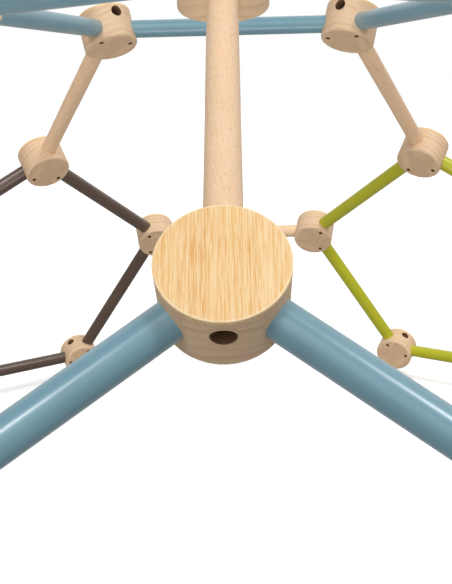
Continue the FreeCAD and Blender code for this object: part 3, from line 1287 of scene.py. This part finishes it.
@dataclass(frozen=True)
class Foot:
    """A short beech rod cut level, on a rubber sole.

    The stub's upper cut is above its socket, so it cuts nothing off.
    """

    rod: Rod
    sole: float = 5 * MM
    above: float = 1.0
    ease: float = 0.4 * MM
    inset: float = 0.3 * MM

    def slice(self, place: HubPlace, low: float, high: float, radius: float) -> bmesh.types.BMesh:
        """Cuts a level stretch out of a hub's foot.

        Args:
            place: the hub that the foot is in.
            low: height of the lower cut above the floor.
            high: height of the upper cut, or more than the socket's height for none.
            radius: the stretch's radius.

        Returns:
            The stretch, in the rod's own frame.
        """
        start = place.centre + place.link_way * self.rod.seat
        length = (start.z + self.rod.radius) / -place.link_way.z
        solid = turned(rod_profile(radius, 0.0, length, self.rod.ease), self.rod.segments)
        into = aimed(start, place.link_way).inverted()
        down = (into.to_3x3() @ -UP).normalized()
        for height, way in ((low, down), (high, -down)):
            point = into @ Vector((start.x, start.y, height))
            whole = solid.verts[:] + solid.edges[:] + solid.faces[:]
            cut = bmesh.ops.bisect_plane(solid, geom=whole, plane_co=point, plane_no=way, clear_outer=True)
            loop = [item for item in cut["geom_cut"] if isinstance(item, bmesh.types.BMEdge)]
            if loop:
                bmesh.ops.contextual_create(solid, geom=loop)
                bmesh.ops.bevel(solid, geom=loop, offset=self.ease, segments=2, profile=0.5, affect="EDGES")
        return solid

    def build(self, place: HubPlace, name: str) -> None:
        """Makes a foot and its sole.

        Args:
            place: the hub that the foot is in.
            name: what the two pieces' names end with.
        """
        matrix = aimed(place.centre + place.link_way * self.rod.seat, place.link_way)
        stub = self.slice(place, self.sole, self.above, self.rod.radius)
        pad = self.slice(place, 0.0, self.sole, self.rod.radius - self.inset)
        settle(to_object(stub, f"foot_{name}", matrix, (BEECH,), BEECH_BOARD), "beech", "feet")
        settle(to_object(pad, f"sole_{name}", matrix, (RUBBER,)), "sole_rubber", "foot_soles")


@dataclass(frozen=True)
class Dome:
    """The whole climber: rings of hubs and rods, the links between them and the feet."""

    layout: DomeLayout
    rod: Rod
    hub: Hub
    foot: Foot

    def build_hubs(self, rings: Rings) -> int:
        """Makes every hub body and bamboo disc, sharing one mesh for each kind of hub.

        Args:
            rings: the hubs, by ring.

        Returns:
            How many hubs there are.
        """
        bodies: dict[Corner, bpy.types.Mesh] = {}
        count = 0
        for ring, places in rings.items():
            for place in places:
                if place.corner not in bodies:
                    bodies[place.corner] = self.hub.body(place)
                drum = bmesh.new()
                drum.from_mesh(bodies[place.corner])
                # the second material is the painted shade of the hole walls
                made = to_object(drum, f"{place.name}_body", place.matrix(), (HUB_WOOD, SHADED_HOLE_WOOD))
                settle(made, "hub_wood", place.name)
                cap_name = place.name.replace("hub_", "cap_")
                cap = to_object(self.hub.disc(), cap_name, place.matrix(), (BAMBOO,), STRIP_BOARD)
                settle(cap, "bamboo", f"{ring}_ring_caps")
                count += 1
        return count

    def build_rings(self, rings: Rings) -> int:
        """Makes the painted rods of every ring.

        Args:
            rings: the hubs, by ring.

        Returns:
            How many rods there are.
        """
        count = 0
        for ring, places in rings.items():
            shade = RING_PAINTS[ring]
            for i, place in enumerate(places):
                before = places[i - 1]
                name = f"{ring}_ring_rod_{i + 1}"
                rod = self.rod.build(name, before.centre, place.centre, PAINTS[shade], ROD_BOARD)
                settle(rod, PAINT_SLOTS[shade], f"{ring}_ring_rods")
                count += 1
        return count

    def build_links(self, rings: Rings) -> int:
        """Makes the natural rods between rings.

        Args:
            rings: the hubs, by ring.

        Returns:
            How many rods there are.
        """
        top, right, left = Corner.TOP.value, Corner.RIGHT.value, Corner.LEFT.value
        for i, ring in enumerate(SIDE_RINGS):
            following = SIDE_RINGS[(i + 1) % SIDES]
            pairs = {
                f"crown_link_{ring}": (rings[ring][top], rings["crown"][i]),
                f"belt_link_{ring}": (rings[ring][right], rings[following][left]),
            }
            for node, (first, second) in pairs.items():
                rod = self.rod.build(f"{node}_rod", first.centre, second.centre, BEECH, BEECH_BOARD)
                settle(rod, "beech", node)
        return 2 * SIDES

    def build_feet(self, rings: Rings) -> int:
        """Makes the feet of the base hubs.

        Args:
            rings: the hubs, by ring.

        Returns:
            How many feet there are.
        """
        base = (Corner.BASE_LEFT, Corner.BASE_RIGHT)
        places = [place for ring in SIDE_RINGS for place in rings[ring] if place.corner in base]
        for place in places:
            self.foot.build(place, place.name.replace("hub_", "").replace("_base", ""))
        return len(places)

    def dress_fasteners(self) -> int:
        """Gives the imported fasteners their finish.

        Returns:
            How many sets of fasteners there are.
        """
        for node, finish in FASTENERS.items():
            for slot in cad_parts[node].material_slots:
                slot.material = finish.material()
        return len(FASTENERS)

    def build(self) -> None:
        """Builds every sub-assembly in order and reports it."""
        rings = self.layout.rings()
        LOG.info("hubs: %d", self.build_hubs(rings))
        LOG.info("ring rods: %d", self.build_rings(rings))
        LOG.info("link rods: %d", self.build_links(rings))
        LOG.info("feet: %d", self.build_feet(rings))
        LOG.info("fastener sets: %d", self.dress_fasteners())


# ---------------------------------------------------------------- the studio


def staged(name: str, data: bpy.types.ID, matrix: Matrix) -> bpy.types.Object:
    """Puts a camera or a lamp into the scene.

    Args:
        name: its name.
        data: the camera or light.
        matrix: where it is.

    Returns:
        The new object.
    """
    made = bpy.data.objects.new(name, data)
    bpy.context.scene.collection.objects.link(made)
    made.matrix_world = matrix
    return made


@dataclass(frozen=True)
class StudioCamera:
    """The camera, just above the front ring's top hub. Its place is in ring spans from the dome's axis."""

    side: float = 0.0272
    back: float = 2.9141
    rise: float = 1.5947
    yaw: float = math.radians(-1.026)
    pitch: float = math.radians(-13.123)
    roll: float = math.radians(-1.417)
    lens_mm: float = 51.78
    sensor_mm: float = 36.0
    far_clip: float = 200.0

    def build(self, axis: Vector, layout: DomeLayout) -> None:
        """Sets up the camera.

        Args:
            axis: the foot of the dome's axis.
            layout: the dome's spans.
        """
        data = bpy.data.cameras.new("camera")
        data.lens = self.lens_mm
        data.sensor_width = self.sensor_mm
        data.clip_end = self.far_clip
        level = Vector((math.cos(self.yaw), -math.sin(self.yaw), 0.0))
        ahead = Vector((math.sin(self.yaw) * math.cos(self.pitch), math.cos(self.yaw) * math.cos(self.pitch),
                        math.sin(self.pitch)))
        above = level.cross(ahead)
        right = level * math.cos(self.roll) + above * math.sin(self.roll)
        top = above * math.cos(self.roll) - level * math.sin(self.roll)
        turn = Matrix((right, top, -ahead)).transposed().to_4x4()
        eye = axis + Vector((self.side, -self.back, self.rise)) * layout.ring_span + UP * layout.base_height
        bpy.context.scene.camera = staged("camera", data, Matrix.Translation(eye) @ turn)


@dataclass(frozen=True)
class Softbox:
    """A soft light that is far away, so that it lights all of the dome alike.

    Its side is a direction in degrees, 0 from the front and positive towards +X. Its height is in degrees
    above the horizon, and its spread is how large it looks, in degrees. Its share is how bright it makes a
    white surface that faces it, where 1 is white.
    """

    name: str
    side: float
    height: float
    spread: float
    share: float

    def build(self) -> None:
        """Adds the light."""
        data = bpy.data.lights.new(self.name, "SUN")
        data.angle = math.radians(self.spread)
        data.energy = self.share * math.pi
        turn, rise = math.radians(self.side), math.radians(self.height)
        way = Vector((math.sin(turn) * math.cos(rise), -math.cos(turn) * math.cos(rise), math.sin(rise)))
        staged(self.name, data, aimed(Vector(), way))


@dataclass(frozen=True)
class LowLamp:
    """A low soft lamp in the middle of the dome, which lights the inner faces of the hubs behind it."""

    place: Size = (0.0, -0.45, 0.06)
    way: Size = (0.0, -1.0, -0.42)
    size: float = 0.8
    watts: float = 5.5

    def build(self, axis: Vector) -> None:
        """Adds the lamp.

        Args:
            axis: the foot of the dome's axis.
        """
        data = bpy.data.lights.new("low", "AREA")
        data.size = self.size
        data.energy = self.watts
        lamp = staged("low", data, aimed(axis + Vector(self.place), Vector(self.way)))
        lamp.visible_camera = False


@dataclass(frozen=True)
class Studio:
    """Floor, soft lights and the camera."""

    camera: StudioCamera = StudioCamera()
    low_lamp: LowLamp = LowLamp()
    softboxes: tuple[Softbox, ...] = (
        Softbox("left_key", -28.0, 42.0, 14.0, 0.28),
        Softbox("right_key", 57.0, 51.0, 14.0, 0.36),
        Softbox("fill", -12.0, 12.0, 70.0, 0.22),
        Softbox("back", 170.0, 40.0, 100.0, 0.30),
    )
    floor_size: float = 200.0
    backdrop: float = 1.0
    ambient: float = 0.30

    def lay_floor(self) -> None:
        """Lays a large plain floor under the feet."""
        sheet = bmesh.new()
        half = self.floor_size / 2.0
        corners = ((-half, -half), (half, -half), (half, half), (-half, half))
        sheet.faces.new([sheet.verts.new((x, y, 0.0)) for x, y in corners])
        floor = to_object(sheet, "floor", Matrix.Identity(4), (PaleFloor("pale_floor"),))

    def light_world(self) -> None:
        """Surrounds the dome with white, dimmer as light than it looks."""
        world = bpy.data.worlds.new("studio")
        world.use_nodes = True
        world.node_tree.nodes.clear()
        graph = Graph(world.node_tree)
        direct = graph.add("LightPath").outputs["Is Camera Ray"]
        extra = graph.product(direct, self.backdrop - self.ambient)
        strength = graph.math("ADD", extra, self.ambient)
        sky = graph.add("Background", {"Color": colour((1.0, 1.0, 1.0)), "Strength": strength})
        graph.add("OutputWorld", {"Surface": sky.outputs[0]})
        bpy.context.scene.world = world

    def build(self, layout: DomeLayout) -> None:
        """Sets up floor, lights, colour and camera.

        Args:
            layout: the dome's spans.
        """
        axis = layout.dome_axis()
        self.lay_floor()
        self.light_world()
        for softbox in self.softboxes:
            softbox.build()
        self.low_lamp.build(axis)
        bpy.context.scene.view_settings.view_transform = "Standard"
        self.camera.build(axis, layout)
        LOG.info("studio: ready")


def main() -> None:
    """Builds the dome and the studio round it."""
    logging.basicConfig(level=logging.INFO, format="%(name)s: %(message)s")
    layout = DomeLayout()
    rod = Rod()
    Dome(layout, rod, Hub(rod), Foot(rod)).build()
    Studio().build(layout)


if __name__ == "__main__":
    main()
